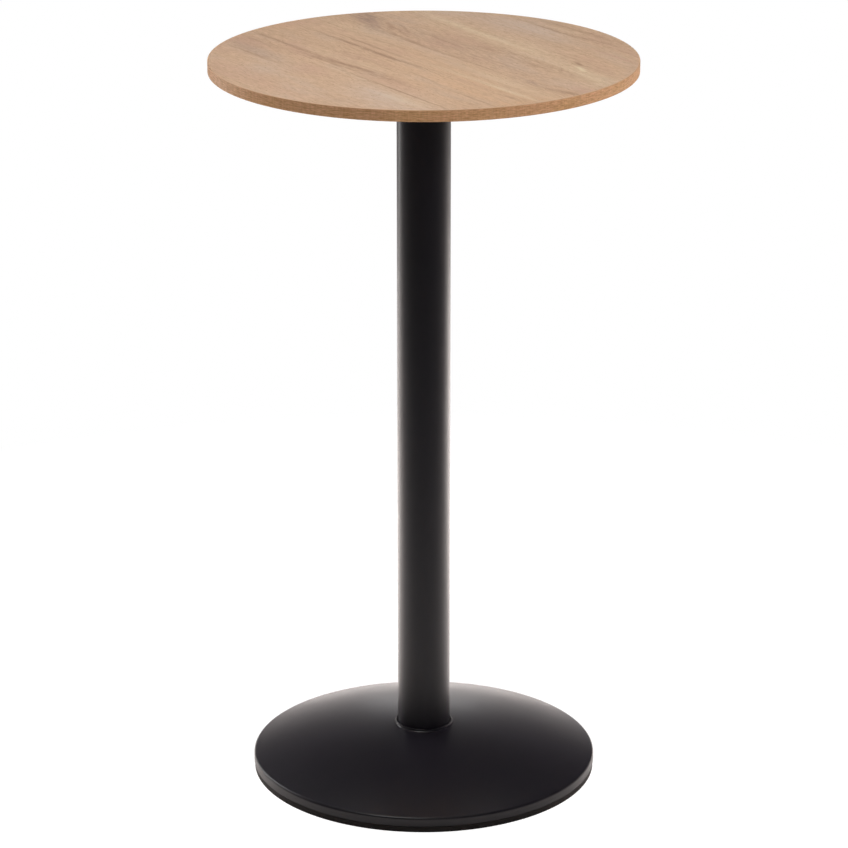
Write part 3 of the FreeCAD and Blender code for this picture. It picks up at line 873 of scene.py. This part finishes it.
def foot_stud(number):
    node = f"foot_stud_{number}"
    x, y = sizes(node)[:2]
    low, high = sizes(node)[3:]
    hex_low = low + FOOT_HEX_RISE
    hex_high = hex_low + FOOT_HEX_HEIGHT
    head_high = low + FOOT_HEAD_HEIGHT
    head_face = FOOT_HEAD_RADIUS - FOOT_BEVEL
    rings = [ring(low, head_face), ring(low + FOOT_BEVEL, FOOT_HEAD_RADIUS)]
    rings += [ring(head_high - FOOT_BEVEL, FOOT_HEAD_RADIUS), ring(head_high, head_face)]
    rings += [ring(head_high, FOOT_NECK_RADIUS), ring(hex_low, FOOT_NECK_RADIUS)]
    rings += chamfered(hex_low, hex_high, FOOT_HEX_FLATS)
    rings += thread(hex_high, high, FOOT_SHANK_RADIUS, FOOT_PITCH)
    mesh = bmesh.new()
    skin(mesh, rings, x, y)
    return fastener(node + "_threaded", mesh, node, node, "zinc_steel")


studs = [foot_stud(number) for number in range(1, 5)]
print("studs:", ", ".join(stud.name for stud in studs))

# %% [markdown]
# ## The screws in the plate
#
# Eight pan-head wood screws hold the plate to the board. Their heads face down, so the recess is
# the part that shows. A head is a polar net of points, pushed up into a cross where the driver
# fits, which keeps it one closed surface without any cutting.

# %% Screws
SCREW_SPACING = millimetres(105)
SCREW_HEAD_RADIUS = millimetres(4.5)
SCREW_SHANK_RADIUS = millimetres(2.25)
SCREW_PITCH = millimetres(1.8)
SCREW_POINT = millimetres(3.0)
CROSS_DEPTH = millimetres(1.7)
CROSS_ARM = millimetres(2.6)
CROSS_HALF_WIDTH = millimetres(0.85)
CROSS_END_SLOPE = millimetres(1.6)
CROSS_SIDE_SLOPE = millimetres(0.35)
NET_RINGS = 22
NET_MIDDLE = 0.6
HEAD_DOME = 0.45
POINT_SHARE = 0.08


def cross_depth(x, y):
    """How deep the cross recess is at a point of the head, from 0 at its edge."""
    far, near = max(abs(x), abs(y)), min(abs(x), abs(y))
    along = (CROSS_ARM - far) / CROSS_END_SLOPE
    beside = (CROSS_HALF_WIDTH - near) / CROSS_SIDE_SLOPE
    return CROSS_DEPTH * max(0.0, min(1.0, along, beside))


def screw_rings(head_low, plate, tip):
    """The rings of one screw: out over its head, up its side, and up its thread to the point."""
    dome = (plate - head_low) * HEAD_DOME
    rings = []
    for step in range(1, NET_RINGS + 1):
        radius = SCREW_HEAD_RADIUS * (step - NET_MIDDLE) / (NET_RINGS - NET_MIDDLE)
        crown = dome * (radius / SCREW_HEAD_RADIUS) ** 4
        flat = ring(head_low + crown, radius)
        rings.append([(x, y, z + cross_depth(x, y)) for x, y, z in flat])
    rings += [ring(plate, SCREW_HEAD_RADIUS), ring(plate, SCREW_SHANK_RADIUS)]
    rings += thread(plate, tip - SCREW_POINT, SCREW_SHANK_RADIUS, SCREW_PITCH)
    rings.append(ring(tip, SCREW_SHANK_RADIUS * POINT_SHARE))
    return rings


low, high = sizes("top_plate_screws")[3:]
plate_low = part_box("top_plate")[0].z
mesh = bmesh.new()
for i in (-1, 0, 1):
    for j in (-1, 0, 1):
        if (i, j) != (0, 0):
            skin(mesh, screw_rings(low, plate_low, high), i * SCREW_SPACING, j * SCREW_SPACING)
fastener("top_plate_screws_turned", mesh, "table", "top_plate_screws", "zinc_steel")
print("screw heads stand", round((plate_low - low) * 1000, 1), "mm under the plate")

# %% [markdown]
# ## The floor
#
# A plain pale floor, lit by the lamps. On camera it should look like white paper, and the table's
# own shadow should stay on it. Stronger lamps would whiten the floor, but they would bleach the
# table too. So the floor glows, but only for rays that come straight from the camera or through
# something clear. Glossy rays see a fainter glow, only behind the table, where a sweep of paper
# would rise. It helps to give the black column its pale edges.

# %% Floor
FLOOR_SPAN = 14.0
FLOOR_DARK = (0.73, 0.70, 0.70, 1.0)
FLOOR_PALE = (0.77, 0.74, 0.74, 1.0)
FLOOR_GLOW = 0.80
GLOSS_GLOW = 0.10
GLOSS_SIDES = (0.35, 0.95)
PAPER = 0.95
SHADOW_BACK = (-0.5, 0.1)
SHADOW_REACH = (0.9, 1.6)
WHITE = (1.0, 1.0, 1.0, 1.0)
NEVER_ZERO = 0.0001


def distance(x, y):
    return (x * x + y * y) ** 0.5


def behind(x, y, start, full):
    """1 for directions away from the camera's side of the table, and 0 on its own side."""
    return (y / (distance(x, y) + NEVER_ZERO)).step(start, full)


def pale_floor():
    finish = Finish("pale_floor")
    place = finish.place()
    x, y = finish.split(place)[:2]
    dust = finish.noise(place, scale=3.0, detail=3.0)
    shade = finish.blend(dust, FLOOR_DARK, FLOOR_PALE)
    lit = finish.add("BsdfDiffuse", inputs={"Color": shade})
    paper = finish.add("Emission", inputs={"Color": WHITE})
    gloss = finish.add("LightPath", output="Is Glossy Ray")
    seen = finish.seen()
    bare = (y.step(*SHADOW_BACK) * PAPER).most(distance(x, y).step(*SHADOW_REACH))
    sheet = finish.add("MixShader", inputs={0: seen * bare, 1: lit, 2: paper})
    sweep = gloss * behind(x, y, *GLOSS_SIDES) * GLOSS_GLOW
    level = seen * (1.0 - bare) * FLOOR_GLOW + sweep
    glow = finish.add("Emission", inputs={"Color": WHITE, "Strength": level})
    finish.add_output("Material", finish.add("AddShader", inputs={0: sheet, 1: glow}))
    return finish.material


half = FLOOR_SPAN / 2
corners = [(-half, -half, 0), (half, -half, 0), (half, half, 0), (-half, half, 0)]
mesh = bpy.data.meshes.new("floor")
mesh.from_pydata(corners, [], [(0, 1, 2, 3)])
floor = bpy.data.objects.new("floor", mesh)
scene.collection.objects.link(floor)
floor.data.materials.append(pale_floor())
print("floor:", FLOOR_SPAN, "m across")

# %% [markdown]
# ## The light
#
# The photograph's light comes from above and the right, and from a bright studio behind the
# table. The satin black pieces show the studio: pale where they are seen at a glance, dark where
# they are seen straight on. White cards could stand for it. The world does it with no objects:
# its level changes with the height of a direction, like a low back wall.

# %% World
# The heights are those of a direction, from 0 on the horizon to 1 straight up.
HORIZON = 0.65
HORIZON_TOP = (0.07, 0.11)
WALL = 0.6
WALL_FOOT = (-0.03, 0.01)
WALL_TOP = (0.24, 0.29)
WALL_SIDES = (0.88, 0.995)
WALL_TINT = (1.0, 0.94, 0.90)
SKY = 0.06
SKY_TOP = (0.47, 0.53)


def studio():
    world = bpy.data.worlds.new("studio")
    world.use_nodes = True
    scene.world = world
    finish = Finish("studio", world.node_tree)
    x, y, z = finish.split(finish.add("TexCoord", output="Generated"))
    low = 1.0 - z.step(*HORIZON_TOP)
    high = z.step(*WALL_TOP)
    wall = (1.0 - low) * (1.0 - high) * WALL
    sky = high * (1.0 - z.step(*SKY_TOP)) * SKY
    level = low * HORIZON + wall + sky
    level = level * behind(x, y, *WALL_SIDES) * z.step(*WALL_FOOT)
    tinted = finish.join(*[level * part for part in WALL_TINT])
    room = finish.add("Background", inputs={"Color": tinted})
    white = finish.add("Background", inputs={"Color": WHITE})
    mixed = finish.add("MixShader", inputs={0: finish.seen(), 1: room, 2: white})
    finish.add_output("World", mixed)


studio()
print("the back wall is", round(math.degrees(math.asin(WALL_TOP[1]))), "degrees high")

# %% [markdown]
# ## The lamps
#
# Seven softboxes light the table itself. Six more stand over the floor behind it and face straight
# down. They make the floor bright where the column and the dome reflect it, which stronger
# softboxes couldn't do without changing the whole table. Only some of the seven are seen in glossy
# pieces, because each one adds a streak to the black.

# %% Lamps
PLAIN = (1.0, 1.0, 1.0)
POOL_TINT = (1.0, 0.94, 0.89)


def softbox(name, place, target, width, height, power, glossy=False, spread=180, tint=PLAIN):
    lamp = bpy.data.lights.new(name, "AREA")
    lamp.shape = "RECTANGLE"
    lamp.size = width
    lamp.size_y = height
    lamp.energy = power
    lamp.spread = math.radians(spread)
    lamp.color = tint
    holder = bpy.data.objects.new(name, lamp)
    scene.collection.objects.link(holder)
    holder.location = place
    aim = Vector(target) - Vector(place)
    holder.rotation_euler = aim.to_track_quat("-Z", "Y").to_euler()
    holder.visible_camera = False
    holder.visible_glossy = glossy


softbox("overhead", (0.0, 0.35, 3.2), (0, 0, 1.0), 1.8, 1.8, 30.5, glossy=True)
softbox("front_high", (-0.7, -1.3, 3.0), (0, 0, 0.3), 1.2, 0.8, 2.2, glossy=True, spread=50)
softbox("right", (2.3, -1.2, 2.0), (0, 0, 1.05), 1.2, 1.2, 5.6, spread=60)
softbox("left", (-2.3, -1.2, 1.3), (0, 0, 1.05), 1.2, 1.2, 1.0, spread=60)
softbox("back_left", (-2.2, 1.6, 1.8), (0, 0, 0.6), 0.8, 1.0, 17.0, glossy=True)
softbox("back", (0.0, 3.0, 0.58), (0, 0, 0.1), 0.6, 0.6, 1.6, glossy=True)
softbox("back_left_low", (-2.2, 1.6, 0.6), (0, 0, 0.5), 0.8, 1.0, 5.6, glossy=True)

# Each pool is its place, its height, its size and its power.
POOLS = {
    "far_right": (2.7, 2.7, 1.5, 2.0, 8.0),
    "middle_left": (-1.4, 1.4, 0.9, 1.2, 38.0),
    "middle_right": (1.4, 1.4, 0.9, 1.2, 65.0),
    "near_left": (-0.75, 0.65, 0.6, 0.8, 15.0),
    "near_right": (0.75, 0.65, 0.6, 0.8, 11.5),
    "near_back": (0.0, 0.75, 0.6, 0.6, 5.0),
}
for name, (x, y, z, size, power) in POOLS.items():
    softbox("pool_" + name, (x, y, z), (x, y, 0.0), size, size, power, tint=POOL_TINT)
print("lamps:", ", ".join(lamp.name for lamp in bpy.data.lights))

# %% [markdown]
# ## The camera
#
# A long lens from five metres away, looking down on the top, as in the photograph. A constraint
# could aim it at the table. Its place, lens and tilt are written out instead, because together
# they set how wide each rim's oval looks. Blender's camera looks straight down at first, so it is
# tilted up by what is left of a right angle.

# %% Camera
SENSOR = 36.0
LENS = 157.92
CAMERA_PLACE = (-0.01182, -5.04562, 2.25126)
CAMERA_DOWN = math.radians(18.8762)
CAMERA_TURN = math.radians(0.1378)

camera_data = bpy.data.cameras.new("camera")
camera_data.sensor_width = SENSOR
camera_data.lens = LENS
camera = bpy.data.objects.new("camera", camera_data)
scene.collection.objects.link(camera)
camera.location = CAMERA_PLACE
camera.rotation_euler = (math.pi / 2 - CAMERA_DOWN, 0.0, -CAMERA_TURN)
scene.camera = camera
scene.view_settings.view_transform = "Standard"
print("the camera looks down by", round(math.degrees(CAMERA_DOWN), 1), "degrees")

# %% [markdown]
# ## Sizes
#
# The dressed table has to stay in the frame's box.
